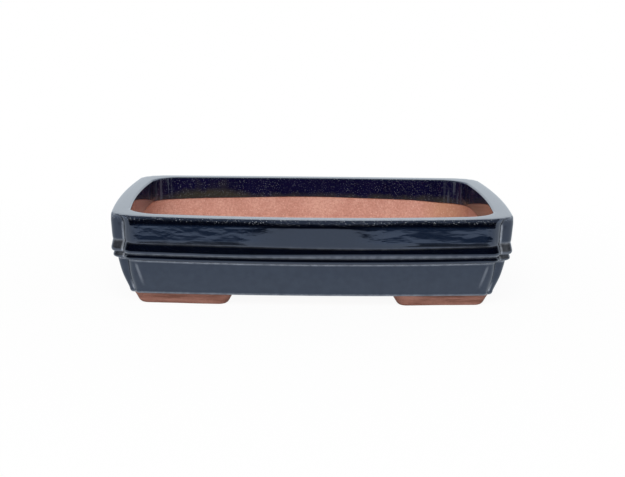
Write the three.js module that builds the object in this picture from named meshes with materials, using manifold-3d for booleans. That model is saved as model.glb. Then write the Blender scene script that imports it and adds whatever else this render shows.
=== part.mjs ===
// A low rectangular glazed pot of the tray kind, built from slabs of clay.
// Millimetres, +Z up, origin on the ground under the middle of the pot, +X along the length.
// The front looks towards -Y.
//
// Every wall, rim strip, cord and the glaze is a section swept along the pot's plan. A point of a section
// has an inset, measured inwards from the widest outline, and a height. The plan of one side runs from one
// corner crease to the next: out along the notch, round a soft edge, along the bowed face and back.

import * as THREE from 'three';
import { mergeVertices } from 'three/addons/utils/BufferGeometryUtils.js';
import Module from 'manifold-3d';

const wasm = await Module();
wasm.setup();

// Overall sizes, over the glaze
const LENGTH = 310;
const WIDTH = 216;
const HEIGHT = 70;

// Plan: the middle of each side stands out past its ends, and the corners are notched
const LONG_BOW = 6.4;
const SHORT_BOW = 5.4;
const NOTCH_AT_RIM = 10.5;
const NOTCH_AT_BELT = 8.5;
const NOTCH_AT_BASE = 4.5;
const EDGE_ROUND = 0.7; // rounding of the edges beside a notch, as a share of the notch
const INNER_CORNER_RADIUS = 14;

// Rim: a flat strip with a rounded lip, settled a little in the middle of the long sides
const RIM_WIDTH = 13.3;
const RIM_DEPTH = 9;
const LIP_RADIUS = 3;
const INNER_EDGE = 1.2;
const RIM_SAG = 1.25;

// Belt: two half-round cords, measured down from the rim
const BELT_DROP = 21.2;
const UPPER_CORD_HEIGHT = 7.6;
const LOWER_CORD_HEIGHT = 6.4;
const UPPER_CORD_PROUD = 1.25;
const LOWER_CORD_PROUD = 1.7;
const VALLEY_DEPTH = 0.3; // how far the groove between the cords lies in from the upper wall
const UPPER_WALL_TAPER = 1.2; // inset of the upper wall where it meets the belt

// Lower body
const SHOULDER_INSET = 4.4;
const BASE_INSET = 11.8;
const LOWER_SWELL = 0.7;
const BASE_RADIUS = 4.2;

// Clay and glaze
const WALL_THICKNESS = 10.5;
const FLOOR_THICKNESS = 9;
const GLAZE_THICKNESS = 0.7;
const GLAZE_DEPTH_INSIDE = 18.5;
const GLAZE_STOP_ANGLE = Math.PI / 3; // how far the glaze runs round the base edge
const SLIP_GAP = 0.3; // the joint between neighbouring pieces

// Drain holes
const DRAIN_HOLE_RADIUS = 11;
const DRAIN_HOLE_SPACING = 130;

// Feet
const FOOT_HEIGHT = 8.3;
const FOOT_LENGTH = 73;
const FOOT_DEPTH = 30;
const FOOT_FLARE = 2; // how far the top of a foot reaches out past the turn of the base edge
const FOOT_END_BATTER = 4; // how far the ends of a foot lean in from top to sole
const FOOT_FACE_BATTER = 1.2; // the same for its long faces
const FOOT_SOLE_ROUND = 1.4;
const FOOT_CORNER_RADIUS = 6;

// Fineness of the facets
const LONG_SPANS = 10;
const SHORT_SPANS = 6;
const CORNER_STEPS = 2;
const CORD_STEPS = 4;
const FOOT_CORNER_STEPS = 3;
const HOLE_SIDES = 24;

// Heights that several pieces share
const floorUnderside = FOOT_HEIGHT;
const floorTop = floorUnderside + FLOOR_THICKNESS;
const baseTurn = floorUnderside + BASE_RADIUS;
const beltTop = HEIGHT - BELT_DROP;
const valley = beltTop - UPPER_CORD_HEIGHT;
const beltBottom = valley - LOWER_CORD_HEIGHT;
const rimJoint = HEIGHT - RIM_DEPTH;

const glazeColour = 0x141a2c;
const clayColour = 0xb98470;
const footColour = 0x8a6253;
const fired = (color, roughness) => new THREE.MeshStandardMaterial({ color, roughness, metalness: 0 });
const glazeMaterial = () => fired(glazeColour, 0.08);
const clayMaterial = () => fired(clayColour, 0.9);
const footMaterial = () => fired(footColour, 0.85);

// The four sides in the order that they follow each other, anticlockwise from above.
// half is half the side's run, off its distance from the middle, both at the corners of the widest outline.
const longSide = {
  half: LENGTH / 2 - SHORT_BOW,
  off: WIDTH / 2 - LONG_BOW,
  bow: LONG_BOW,
  nextBow: SHORT_BOW,
  spans: LONG_SPANS,
};
const shortSide = {
  half: WIDTH / 2 - LONG_BOW,
  off: LENGTH / 2 - SHORT_BOW,
  bow: SHORT_BOW,
  nextBow: LONG_BOW,
  spans: SHORT_SPANS,
};
const SIDES = [
  { name: 'front', turn: 0, ...longSide },
  { name: 'right', turn: Math.PI / 2, ...shortSide },
  { name: 'back', turn: Math.PI, ...longSide },
  { name: 'left', turn: -Math.PI / 2, ...shortSide },
];

const { lerp, clamp } = THREE.MathUtils;

// How far a bowed face stands out past its ends, at a distance along it
function bowAt(bow, run, half) {
  return bow * (1 - (run / half) ** 2);
}

function notchAt(z) {
  const belt = (beltTop + beltBottom) / 2;
  if (z > belt) {
    return lerp(NOTCH_AT_BELT, NOTCH_AT_RIM, (z - belt) / (HEIGHT - belt));
  }
  return lerp(NOTCH_AT_BASE, NOTCH_AT_BELT, clamp((z - floorUnderside) / (belt - floorUnderside), 0, 1));
}

// One side of a plan from its right half: the half is mirrored, with the flat spans between
function wholeSide(rightEnd, faceAt, spans) {
  const start = rightEnd.at(-1).x;
  const face = [];
  for (let k = 1; k < spans; k += 1) {
    const run = lerp(-start, start, k / spans);
    face.push(new THREE.Vector2(run, faceAt(run)));
  }
  const leftEnd = rightEnd.map((p) => new THREE.Vector2(-p.x, p.y));
  return [...leftEnd, ...face, ...rightEnd.toReversed()];
}

// Outside plan of one side, from crease to crease. gap opens the mitre at the creases.
function outsidePlan(side, { inset, z }, gap) {
  const half = side.half - inset;
  const off = side.off - inset;
  const notch = notchAt(z);
  const edge = notch * EDGE_ROUND;
  const faceAt = (run) => off + bowAt(side.bow, run, half);
  const end = half - notch;
  const rounding = new THREE.QuadraticBezierCurve(
    new THREE.Vector2(end, faceAt(end) - edge),
    new THREE.Vector2(end, faceAt(end)),
    new THREE.Vector2(end - edge, faceAt(end - edge)),
  );
  const crease = new THREE.Vector2(end, off - notch + gap * Math.SQRT1_2);
  return wholeSide([crease, ...rounding.getPoints(CORNER_STEPS)], faceAt, side.spans);
}

// Inside plan of one side, from the middle of one rounded corner to the middle of the next
function insidePlan(side, { inset }, gap) {
  const half = side.half - inset;
  const off = side.off - inset;
  const radius = INNER_CORNER_RADIUS + Math.max(RIM_WIDTH - inset, 0);
  const faceAt = (run) => off + bowAt(side.bow, run, half);
  const rounding = new THREE.QuadraticBezierCurve(
    new THREE.Vector2(half + bowAt(side.nextBow, off - radius, off), off - radius),
    new THREE.Vector2(half, off),
    new THREE.Vector2(half - radius, faceAt(half - radius)),
  );
  const steps = CORNER_STEPS + 1;
  const end = [];
  for (let k = 0; k <= steps; k += 1) {
    end.push(rounding.getPoint(0.5 + 0.5 * (k / steps)));
  }
  const opening = (gap / 2) * Math.SQRT1_2;
  end[0].add(new THREE.Vector2(-opening, opening));
  return wholeSide(end, faceAt, side.spans);
}

// The walls settled in the kiln: the middle of the long sides sank.
// All of it shows from the belt up to the rim, and none at the floor.
function settled(x, y, z) {
  const longFaceEnd = longSide.half - NOTCH_AT_RIM;
  const along = Math.max(0, 1 - (x / longFaceEnd) ** 2);
  const up = clamp((z - floorTop) / (beltBottom - floorTop), 0, 1);
  return new THREE.Vector3(x, y, z - RIM_SAG * along * up);
}

// One point of a section carried along one side
function carry(side, point, gap) {
  const plan = point.inside ? insidePlan(side, point, gap) : outsidePlan(side, point, gap);
  const cos = Math.cos(side.turn);
  const sin = Math.sin(side.turn);
  return plan.map((p) => settled(p.x * cos + p.y * sin, p.x * sin - p.y * cos, point.z));
}

const outside = (inset, z) => ({ inset, z, inside: false });
const inside = (inset, z) => ({ inset, z, inside: true });

// Triangles of a flat outline, anticlockwise in its own plane
function fill(outline) {
  return THREE.ShapeUtils.triangulateShape(outline, []).map(([a, b, c]) => {
    const ab = outline[b].clone().sub(outline[a]);
    const ac = outline[c].clone().sub(outline[a]);
    return ab.cross(ac) > 0 ? [a, b, c] : [a, c, b];
  });
}

// A closed solid from rows of points: the first index steps from row to row, the second along a row.
// joinRows closes the last row on to the first, joinEnds the end of each row on to its start.
function solidFromRows(rows, { joinRows, joinEnds, caps }) {
  const count = rows[0].length;
  const index = [];
  const rowSteps = joinRows ? rows.length : rows.length - 1;
  const endSteps = joinEnds ? count : count - 1;
  for (let i = 0; i < rowSteps; i += 1) {
    for (let j = 0; j < endSteps; j += 1) {
      const next = (i + 1) % rows.length;
      const across = (j + 1) % count;
      const a = i * count + j;
      const b = i * count + across;
      const c = next * count + across;
      const d = next * count + j;
      index.push(a, b, c, a, c, d);
    }
  }
  for (const { triangles, vertex, flip } of caps) {
    for (const [a, b, c] of triangles) {
      index.push(vertex(a), vertex(flip ? c : b), vertex(flip ? b : c));
    }
  }
  const geometry = new THREE.BufferGeometry().setFromPoints(rows.flat());
  geometry.setIndex(index);
  geometry.computeVertexNormals();
  return geometry;
}

// A section swept along one side, from mitre to mitre, with both ends closed.
// The section runs up the outside, over the top and down the inside.
function sweepSide(side, section) {
  const rows = section.map((point) => carry(side, point, SLIP_GAP));
  const count = rows[0].length;
  const triangles = fill(section.map((point) => new THREE.Vector2(point.inset, point.z)));
  const caps = [
    { triangles, vertex: (k) => k * count, flip: true },
    { triangles, vertex: (k) => k * count + count - 1, flip: false },
  ];
  return solidFromRows(rows, { joinRows: true, joinEnds: false, caps });
}

// One point of a section carried round the whole pot
function ring(point) {
  return SIDES.flatMap((side) => carry(side, point, 0).slice(0, -1));
}

// A solid from closed outlines stacked upwards, with a flat bottom and top
function stack(rings) {
  const count = rings[0].length;
  const flat = (outline) => fill(outline.map((p) => new THREE.Vector2(p.x, p.y)));
  const last = rings.length - 1;
  const caps = [
    { triangles: flat(rings[0]), vertex: (k) => k, flip: true },
    { triangles: flat(rings[last]), vertex: (k) => last * count + k, flip: false },
  ];
  return solidFromRows(rings, { joinRows: false, joinEnds: true, caps });
}

// Glazed surface
// Points run up the outside from the base edge, over the cords and the lip, and down inside to its end.

function lowerPanelInset(z) {
  const t = (z - baseTurn) / (beltBottom - baseTurn);
  return lerp(BASE_INSET, SHOULDER_INSET, t) - LOWER_SWELL * 4 * t * (1 - t);
}

function baseEdge(angle) {
  const centre = BASE_INSET + BASE_RADIUS;
  return outside(centre - BASE_RADIUS * Math.cos(angle), baseTurn - BASE_RADIUS * Math.sin(angle));
}

// The round of one cord between two points of the wall, without those points
function cordRound(from, to, proud) {
  const points = [];
  for (let k = 1; k < CORD_STEPS; k += 1) {
    const t = k / CORD_STEPS;
    const wall = lerp(from.inset, to.inset, t);
    points.push(outside(wall - proud * Math.sin(Math.PI * t), lerp(from.z, to.z, t)));
  }
  return points;
}

const shoulder = outside(SHOULDER_INSET, beltBottom);
const groove = outside(UPPER_WALL_TAPER + VALLEY_DEPTH, valley);
const beltEdge = outside(UPPER_WALL_TAPER, beltTop);
const lowerCordRound = cordRound(shoulder, groove, LOWER_CORD_PROUD);
const upperCordRound = cordRound(groove, beltEdge, UPPER_CORD_PROUD);
const midPanel = (baseTurn + beltBottom) / 2;
const lipCentre = HEIGHT - LIP_RADIUS;

const glazedSurface = [
  baseEdge(GLAZE_STOP_ANGLE),
  baseEdge(GLAZE_STOP_ANGLE / 2),
  outside(BASE_INSET, baseTurn),
  outside(lowerPanelInset(midPanel), midPanel),
  shoulder,
  ...lowerCordRound,
  groove,
  ...upperCordRound,
  beltEdge,
  outside(0, lipCentre),
  outside(LIP_RADIUS * (1 - Math.SQRT1_2), lipCentre + LIP_RADIUS * Math.SQRT1_2),
  outside(LIP_RADIUS, HEIGHT),
  inside(RIM_WIDTH - INNER_EDGE, HEIGHT),
  inside(RIM_WIDTH, HEIGHT - INNER_EDGE),
  inside(RIM_WIDTH, HEIGHT - GLAZE_DEPTH_INSIDE),
];

// The same surface moved into the pot by a depth, square to itself
function sunk(surface, depth) {
  return surface.map((point, k) => {
    const before = surface[Math.max(k - 1, 0)];
    const after = surface[Math.min(k + 1, surface.length - 1)];
    const arriving = new THREE.Vector2(point.inset - before.inset, point.z - before.z).normalize();
    const leaving = new THREE.Vector2(after.inset - point.inset, after.z - point.z).normalize();
    const along = arriving.clone().add(leaving).normalize();
    const straight = k > 0 && k < surface.length - 1 ? along.dot(leaving) : 1;
    const shift = depth / straight;
    return { ...point, inset: point.inset + along.y * shift, z: point.z - along.x * shift };
  });
}

const claySurface = sunk(glazedSurface, GLAZE_THICKNESS + SLIP_GAP);
const clayOutside = claySurface.filter((point) => !point.inside);

// Inset of the clay under the glaze at a height on the outside
function clayInset(z) {
  const k = clayOutside.findIndex((point) => point.z >= z);
  const below = clayOutside[k - 1];
  const above = clayOutside[k];
  return lerp(below.inset, above.inset, (z - below.z) / (above.z - below.z));
}

// Inside faces: upright behind the glazed band and the belt, then leaning in with the wall
const innerFaceInset = RIM_WIDTH - GLAZE_THICKNESS - SLIP_GAP;
const wallFoot = floorTop + SLIP_GAP;
const wallTop = rimJoint - SLIP_GAP;
const innerFootInset = lowerPanelInset(wallFoot) + WALL_THICKNESS;

const pot = new THREE.Group();

function addPiece(name, geometry, material) {
  const mesh = new THREE.Mesh(geometry, material);
  mesh.name = name;
  pot.add(mesh);
  return mesh;
}

// A closed geometry as a solid for cutting, and back
function toSolid(geometry) {
  const bare = geometry.clone();
  for (const name of ['normal', 'uv']) {
    bare.deleteAttribute(name);
  }
  const merged = mergeVertices(bare);
  const mesh = new wasm.Mesh({
    numProp: 3,
    vertProperties: new Float32Array(merged.attributes.position.array),
    triVerts: new Uint32Array(merged.index.array),
  });
  return new wasm.Manifold(mesh);
}

function toGeometry(solid) {
  const mesh = solid.getMesh();
  const geometry = new THREE.BufferGeometry();
  geometry.setAttribute('position', new THREE.BufferAttribute(mesh.vertProperties, mesh.numProp));
  geometry.setIndex(new THREE.BufferAttribute(mesh.triVerts, 1));
  geometry.computeVertexNormals();
  return geometry;
}

// Floor slab
// Reaches out to the base edge, where its rim is rounded under the glaze, and has two drain holes.
function floorSlab() {
  const edge = clayOutside.filter((point) => point.z < floorTop);
  const underside = outside(BASE_INSET + BASE_RADIUS, floorUnderside);
  const top = outside(clayInset(floorTop), floorTop);
  let slab = toSolid(stack([underside, ...edge, top].map(ring)));
  for (const direction of [-1, 1]) {
    const past = 2 * FLOOR_THICKNESS;
    const cutter = new THREE.CylinderGeometry(DRAIN_HOLE_RADIUS, DRAIN_HOLE_RADIUS, past, HOLE_SIDES);
    cutter.rotateX(Math.PI / 2);
    cutter.translate((direction * DRAIN_HOLE_SPACING) / 2, 0, floorUnderside + FLOOR_THICKNESS / 2);
    slab = slab.subtract(toSolid(cutter));
  }
  return toGeometry(slab);
}
addPiece('floor_slab', floorSlab(), clayMaterial());

// Wall slabs
// Stand on the floor slab, lean out to the belt and then stand nearly upright to the rim joint.
const wallSection = [
  outside(clayInset(wallFoot), wallFoot),
  outside(clayInset(midPanel), midPanel),
  outside(clayInset(beltBottom), beltBottom),
  outside(clayInset(beltTop), beltTop),
  outside(clayInset(wallTop), wallTop),
  inside(innerFaceInset, wallTop),
  inside(innerFaceInset, beltTop),
  inside(innerFaceInset, beltBottom),
  inside(innerFootInset, wallFoot),
];
for (const side of SIDES) {
  addPiece(`${side.name}_wall`, sweepSide(side, wallSection), clayMaterial());
}

// Rim strips
// Lie on top of the walls, as wide as the rim, with the lip rounded.
const rimSection = [
  outside(clayInset(rimJoint), rimJoint),
  ...claySurface.slice(claySurface.indexOf(clayOutside.at(-3)), -1),
  inside(innerFaceInset, rimJoint),
];
for (const side of SIDES) {
  addPiece(`rim_${side.name}`, sweepSide(side, rimSection), clayMaterial());
}

// Belt cords
// Half-round lengths of clay pressed on to the wall between the lower body and the upper wall.
function cordSection(round) {
  const outer = round.map((point) => claySurface[glazedSurface.indexOf(point)]);
  const seat = (z) => {
    const t = (z - beltBottom) / (beltTop - beltBottom);
    return lerp(clayInset(beltBottom), clayInset(beltTop), t) - SLIP_GAP;
  };
  const back = [outer.at(-1), outer[0]].map((point) => outside(seat(point.z), point.z));
  return [...outer, ...back];
}
const cords = { upper_cord: cordSection(upperCordRound), lower_cord: cordSection(lowerCordRound) };
for (const [name, section] of Object.entries(cords)) {
  for (const side of SIDES) {
    addPiece(`${name}_${side.name}`, sweepSide(side, section), clayMaterial());
  }
}

// Feet
// Low blocks under the corners, in line with the long walls, flared where they meet the floor slab.
// lean is the share of the batter at a height, round what the edge of the sole takes off all round.
function footOutline(lean, round, z) {
  const x = FOOT_LENGTH / 2 - lean * FOOT_END_BATTER - round;
  const y = FOOT_DEPTH / 2 - lean * FOOT_FACE_BATTER - round;
  const r = FOOT_CORNER_RADIUS;
  const centres = [[x - r, y - r], [r - x, y - r], [r - x, r - y], [x - r, r - y]];
  const points = centres.flatMap(([across, deep], quarter) => {
    const start = (quarter * Math.PI) / 2;
    const corner = new THREE.EllipseCurve(across, deep, r, r, start, start + Math.PI / 2);
    return corner.getPoints(FOOT_CORNER_STEPS);
  });
  return points.map((p) => new THREE.Vector3(p.x, p.y, z));
}

function foot() {
  const top = FOOT_HEIGHT - SLIP_GAP;
  const flare = new THREE.CubicBezierCurve(
    new THREE.Vector2(1, FOOT_SOLE_ROUND),
    new THREE.Vector2(1, (FOOT_SOLE_ROUND + top) / 2),
    new THREE.Vector2(0.5, (FOOT_SOLE_ROUND + top) / 2),
    new THREE.Vector2(0, top),
  );
  const sole = footOutline(1, FOOT_SOLE_ROUND, 0);
  return stack([sole, ...flare.getPoints(FOOT_CORNER_STEPS).map((p) => footOutline(p.x, 0, p.y))]);
}

// Line of the front of a foot, under the base edge, at a distance along a long side
function footFront(run) {
  const inset = BASE_INSET + BASE_RADIUS - FOOT_FLARE;
  return longSide.off - inset + bowAt(LONG_BOW, run, longSide.half - inset);
}

// The outer end of a foot lies under the turn of the base edge at the end of the pot
const footOuterEnd = longSide.half - BASE_INSET - BASE_RADIUS;
const footInnerEnd = footOuterEnd - FOOT_LENGTH;
const footSlant = Math.atan2(footFront(footInnerEnd) - footFront(footOuterEnd), FOOT_LENGTH);
const footMiddle = footInnerEnd + FOOT_LENGTH / 2;
const footLine = (footFront(footInnerEnd) + footFront(footOuterEnd)) / 2 - FOOT_DEPTH / 2;
for (const [row, y] of [['front', -1], ['back', 1]]) {
  for (const [column, x] of [['left', -1], ['right', 1]]) {
    const piece = addPiece(`foot_${row}_${column}`, foot(), footMaterial());
    piece.position.set(x * footMiddle, y * footLine, 0);
    piece.rotation.z = -x * y * footSlant;
  }
}

// Glaze coat
// One skin of glass round the outside, over the rim and down the top band of the inside.
const glazeSection = [...glazedSurface, ...sunk(glazedSurface, GLAZE_THICKNESS).toReversed()];
const glazeSkin = solidFromRows(glazeSection.map(ring), { joinRows: true, joinEnds: true, caps: [] });
addPiece('glaze_coat', glazeSkin, glazeMaterial());

export default pot;
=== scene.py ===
import math

import bmesh
import bpy
from mathutils import Matrix


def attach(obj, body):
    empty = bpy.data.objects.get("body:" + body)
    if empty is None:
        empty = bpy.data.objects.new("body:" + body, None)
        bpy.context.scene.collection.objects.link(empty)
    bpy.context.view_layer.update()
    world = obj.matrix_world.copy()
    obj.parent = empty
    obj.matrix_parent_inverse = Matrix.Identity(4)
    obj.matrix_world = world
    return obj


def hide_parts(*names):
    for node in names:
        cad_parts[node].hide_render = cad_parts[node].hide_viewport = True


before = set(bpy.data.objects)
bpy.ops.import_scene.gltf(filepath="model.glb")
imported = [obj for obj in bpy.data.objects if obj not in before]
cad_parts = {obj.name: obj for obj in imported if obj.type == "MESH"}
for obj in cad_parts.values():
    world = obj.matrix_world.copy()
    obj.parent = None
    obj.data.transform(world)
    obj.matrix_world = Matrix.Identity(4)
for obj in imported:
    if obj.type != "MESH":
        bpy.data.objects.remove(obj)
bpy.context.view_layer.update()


# Camera
# Stands about a metre in front of the pot and a hand above its rim, and looks a little down, so that the
# front, the rim and the inside of the back wall all show.
mm = 0.001
IMAGE_WIDTH = 625  # in pixels, like the focal length
FOCAL_LENGTH = 1180
SENSOR_WIDTH = 36
CAMERA_PLACE = (-14.4 * mm, -956.3 * mm, 227.2 * mm)
CAMERA_TURN = -0.953  # in degrees, like the next two
CAMERA_DIP = 11.46
CAMERA_ROLL = 0.717

camera_data = bpy.data.cameras.new("camera")
camera_data.sensor_fit = "HORIZONTAL"
camera_data.sensor_width = SENSOR_WIDTH
camera_data.lens = SENSOR_WIDTH * FOCAL_LENGTH / IMAGE_WIDTH
camera = bpy.data.objects.new("camera", camera_data)
bpy.context.scene.collection.objects.link(camera)
camera.location = CAMERA_PLACE
turn = Matrix.Rotation(math.radians(CAMERA_TURN), 3, "Z")
tilt = Matrix.Rotation(math.radians(90 - CAMERA_DIP), 3, "X")
roll = Matrix.Rotation(math.radians(CAMERA_ROLL), 3, "Z")
camera.rotation_euler = (turn @ tilt @ roll).to_euler()
bpy.context.scene.camera = camera


# Floor and light
# A white paper sheet that ends just in front of the picture, in a room that is white low down behind the
# pot and dark where the camera stands. A wide soft light falls from above the camera.
SHEET_FRONT = 430 * mm
SHEET_BACK = 2600 * mm
SHEET_SIDE = 1500 * mm
SHADOW_FADES = (150 * mm, 480 * mm)  # the way from the middle over which the shadow by the pot thins out
SHADOW_WHITE = 0.93  # how far the sheet is plain white in that shadow
LAMPLIGHT_ENDS = (-390 * mm, -300 * mm)  # in front of the pot
LAMPLESS = 0.02  # brightness of the sheet past that
DAYLIGHT = "#eff8ff"
ROOM_LIGHT = 0.35
DARK_TO_WHITE = (0.0, 0.6)  # by how far a look into the room heads to the back
WHITE_TO_DARK = (0.55, 0.97)  # by how far it heads up
DARK_SIDE = 0.012
WHITE_SIDE = 1.08
OVERHEAD_SHARE = 0.12  # what is left of the white side's brightness overhead
LAMP_ENERGY = 2.6
LAMP_SPREAD = math.radians(60)
LAMP_LEAN = (math.radians(50), math.radians(-8), 0)


def colour(code):
    """A colour written as sRGB hex, turned to the linear values that the shaders take."""
    shares = [int(code[i:i + 2], 16) / 255 for i in (1, 3, 5)]
    linear = [s / 12.92 if s <= 0.04045 else ((s + 0.055) / 1.055) ** 2.4 for s in shares]
    return (*linear, 1)


def node(owner, kind, inputs=None, **settings):
    """Adds one shader node with its settings. An input is a value, or another node's output to link, and a
    pair of inputs can be set together. Map Range turns the range at (1, 2) into the one at (3, 4), and Mix
    goes from the first to the second of the numbers at (2, 3) or of the colours at (6, 7)."""
    made = owner.node_tree.nodes.new(kind)
    for name, value in settings.items():
        setattr(made, name, value)
    for names, values in (inputs or {}).items():
        pairs = zip(names, values) if isinstance(names, tuple) else [(names, values)]
        for name, value in pairs:
            if isinstance(value, bpy.types.NodeSocket):
                owner.node_tree.links.new(value, made.inputs[name])
            else:
                made.inputs[name].default_value = value
    return made


def blank_material(name):
    """A material with no nodes in it yet."""
    material = bpy.data.materials.new(name)
    material.use_nodes = True
    material.node_tree.nodes.clear()
    return material


bpy.context.scene.view_settings.view_transform = "Standard"

room = bpy.data.worlds.new("white room")
room.use_nodes = True
room.node_tree.nodes.clear()
bpy.context.scene.world = room
ray = node(room, "ShaderNodeLightPath")
look = node(room, "ShaderNodeTexCoord")
heading = node(room, "ShaderNodeSeparateXYZ", {0: look.outputs["Generated"]})
behind = node(room, "ShaderNodeMapRange", {0: heading.outputs["Y"], (1, 2): DARK_TO_WHITE,
                                           (3, 4): (DARK_SIDE, WHITE_SIDE)}, interpolation_type="SMOOTHSTEP")
low_down = node(room, "ShaderNodeMapRange", {0: heading.outputs["Z"], (1, 2): WHITE_TO_DARK,
                                             (3, 4): (1.0, OVERHEAD_SHARE)}, interpolation_type="SMOOTHSTEP")
mirrored = node(room, "ShaderNodeMath", {0: behind.outputs[0], 1: low_down.outputs[0]},
                operation="MULTIPLY")
lit = node(room, "ShaderNodeMix", {0: ray.outputs["Is Glossy Ray"],
                                   (2, 3): (ROOM_LIGHT, mirrored.outputs[0])}, data_type="FLOAT")
seen = node(room, "ShaderNodeMix", {0: ray.outputs["Is Camera Ray"], (2, 3): (lit.outputs[0], 1.0)},
            data_type="FLOAT")
tint = node(room, "ShaderNodeMix", {0: ray.outputs["Is Glossy Ray"],
                                    (6, 7): (colour("#ffffff"), colour(DAYLIGHT))}, data_type="RGBA")
room_light = node(room, "ShaderNodeBackground", {"Color": tint.outputs[2], "Strength": seen.outputs[0]})
node(room, "ShaderNodeOutputWorld", {"Surface": room_light.outputs[0]})

overhead = bpy.data.objects.new("overhead light", bpy.data.lights.new("overhead light", "SUN"))
overhead.data.energy = LAMP_ENERGY
overhead.data.angle = LAMP_SPREAD
overhead.rotation_euler = LAMP_LEAN
overhead.visible_glossy = False
bpy.context.scene.collection.objects.link(overhead)

bpy.ops.object.select_all(action="DESELECT")
bpy.ops.mesh.primitive_plane_add(size=1)
sheet = bpy.context.object
sheet.name = "paper_sheet"
sheet.scale = (2 * SHEET_SIDE, SHEET_FRONT + SHEET_BACK, 1)
sheet.location = (0, (SHEET_BACK - SHEET_FRONT) / 2, 0)
bpy.ops.object.transform_apply(location=True, rotation=False, scale=True)

# White paper is matt and plain. Seen by the camera, it goes over into plain white away from the pot, and
# keeps a soft shadow by it
paper = blank_material("white paper")
spot = node(paper, "ShaderNodeTexCoord").outputs["Object"]
spot_parts = node(paper, "ShaderNodeSeparateXYZ", {0: spot})
away = node(paper, "ShaderNodeVectorMath", {0: spot}, operation="LENGTH")
sheet_ray = node(paper, "ShaderNodeLightPath")
matt = node(paper, "ShaderNodeBsdfDiffuse", {"Color": colour("#f8f8f8")})
white = node(paper, "ShaderNodeEmission", {"Color": colour("#ffffff"), "Strength": 1.0})
clear = node(paper, "ShaderNodeMapRange", {0: away.outputs["Value"], (1, 2): SHADOW_FADES,
                                           (3, 4): (SHADOW_WHITE, 1.0)})
sheet_seen = node(paper, "ShaderNodeMixShader", {0: clear.outputs[0], 1: matt.outputs[0],
                                                 2: white.outputs[0]})
# Mirrored in the glaze, the lit part of the sheet ends in front of the pot, where the lamps don't reach
lit_part = node(paper, "ShaderNodeMapRange", {0: spot_parts.outputs["Y"], (1, 2): LAMPLIGHT_ENDS,
                                              (3, 4): (LAMPLESS, 1.0)}, interpolation_type="SMOOTHSTEP")
mirror = node(paper, "ShaderNodeEmission", {"Color": colour(DAYLIGHT), "Strength": lit_part.outputs[0]})
glossy = node(paper, "ShaderNodeMixShader", {0: sheet_ray.outputs["Is Glossy Ray"], 1: matt.outputs[0],
                                             2: mirror.outputs[0]})
sheet_face = node(paper, "ShaderNodeMixShader", {0: sheet_ray.outputs["Is Camera Ray"],
                                                 1: glossy.outputs[0], 2: sheet_seen.outputs[0]})
node(paper, "ShaderNodeOutputMaterial", {"Surface": sheet_face.outputs[0]})
sheet.data.materials.append(paper)


# Clay floor
# The flat slab that the pot is built up on, rolled from coarse red-brown clay and left bare. Two round
# drain holes are cut through it before it dries, and their edges are wiped soft.
CORNER_X = 149.6 * mm  # where the sides would meet without notches, on the widest outline
CORNER_Y = 101.6 * mm
CORNERS = [(-1, -1), (-1, 1), (1, -1), (1, 1)]  # signs of x and y at each of them
LONG_BOW = 6.4 * mm
SHORT_BOW = 5.4 * mm
NOTCH_AT_RIM = 10.2 * mm
NOTCH_AT_BELT = 9.2 * mm
NOTCH_AT_BASE = 4.2 * mm
NOTCH_MARGIN = 2 * mm  # how far past its soft edges a notch is gathered up
RIM_TOP = 70 * mm
BELT_MIDDLE = 41.8 * mm
FLOOR_UNDERSIDE = 8.3 * mm
LONG_SIDE_SOFT = 0.75  # rounding of the edges beside a notch, as a share of the notch
SHORT_SIDE_SOFT = 0.55
CREASE_ROUND = 2.0 * mm
EDGE_CUTS = 6
CREASE_CUTS = 3
LONG_CUTS = 11
SHORT_CUTS = 7
HAIR = 0.01 * mm  # how close counts as the same place
FLOOR_EDGE = [(16.4, 8.3), (15.2, 9.5), (14.2, 11), (13.2, 13), (11.4, 17.3)]  # inset and height in mm
DRAIN_HOLE_RADIUS = 11 * mm
DRAIN_HOLE_PLACE = 65 * mm
DRAIN_HOLE_CUTS = 64
DRAIN_HOLE_SOFTNESS = 1.4 * mm
SOFTNESS_CUTS = 4
DRILL_LENGTH = 40 * mm
SHARP_EDGE = math.radians(35)  # flatter edges than this are shaded smooth


def notch_at(z):
    """Depth of the corner notches at a height: deepest at the rim, shallow at the base."""
    if z > BELT_MIDDLE:
        share = (z - BELT_MIDDLE) / (RIM_TOP - BELT_MIDDLE)
        return NOTCH_AT_BELT + (NOTCH_AT_RIM - NOTCH_AT_BELT) * min(share, 1)
    share = (z - FLOOR_UNDERSIDE) / (BELT_MIDDLE - FLOOR_UNDERSIDE)
    return NOTCH_AT_BASE + (NOTCH_AT_BELT - NOTCH_AT_BASE) * max(share, 0)


def select_only(*pieces):
    """Selects some pieces and nothing else, in object mode, and makes the last of them the active one."""
    bpy.ops.object.select_all(action="DESELECT")
    for piece in pieces:
        piece.select_set(True)
    bpy.context.view_layer.objects.active = pieces[-1]


def pick(piece, test):
    """Selects the points, in edit mode, whose number and place pass a test."""
    bpy.ops.mesh.select_mode(type="VERT")
    bpy.ops.mesh.select_all(action="DESELECT")
    mesh = bmesh.from_edit_mesh(piece.data)
    mesh.verts.index_update()
    for point in mesh.verts:
        if test(point.index, point.co):
            point.select_set(True)
    mesh.select_flush_mode()
    bmesh.update_edit_mesh(piece.data)


def picked(piece):
    """Numbers of the selected points."""
    mesh = bmesh.from_edit_mesh(piece.data)
    mesh.verts.index_update()
    return {point.index for point in mesh.verts if point.select}


def pull(way, reach, falloff):
    """Moves the selected points, and the others with them, less and less up to a reach."""
    bpy.ops.transform.translate(value=way, use_proportional_edit=True, proportional_edit_falloff=falloff,
                                proportional_size=reach)


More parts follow.
